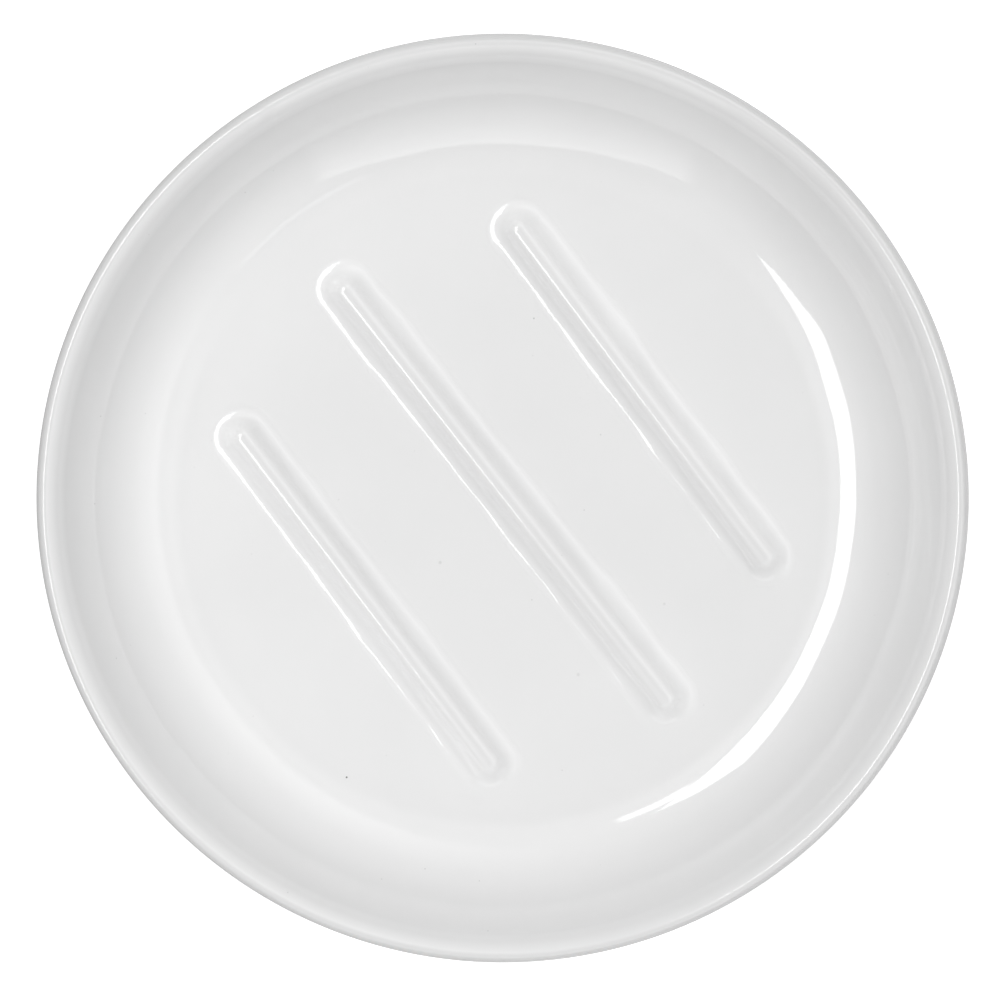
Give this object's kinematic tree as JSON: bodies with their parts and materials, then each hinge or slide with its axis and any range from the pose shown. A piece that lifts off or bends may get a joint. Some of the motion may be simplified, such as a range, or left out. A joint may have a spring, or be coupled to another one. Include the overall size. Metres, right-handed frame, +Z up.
{
  "type": "soap dish",
  "caption": "Round shallow soap dish in glazed ceramic, with a curved wall, a rounded rim, a bare foot ring and raised ribs that keep the soap clear of the floor.",
  "frame": {"origin": "centre of the foot ring's standing plane, which is the bottom centre of the dish", "axes": "+Z up out of the dish, +X along the drain ribs, +Y across them"},
  "size_m": [0.12, 0.12, 0.0184],
  "materials": {
    "glaze": "gloss",
    "bare_clay": "matte"
  },
  "bodies": {
    "root": {"ceramic_body": "bare_clay", "glaze_coat": "glaze", "underside_glaze": "glaze"}
  },
  "joints": []
}
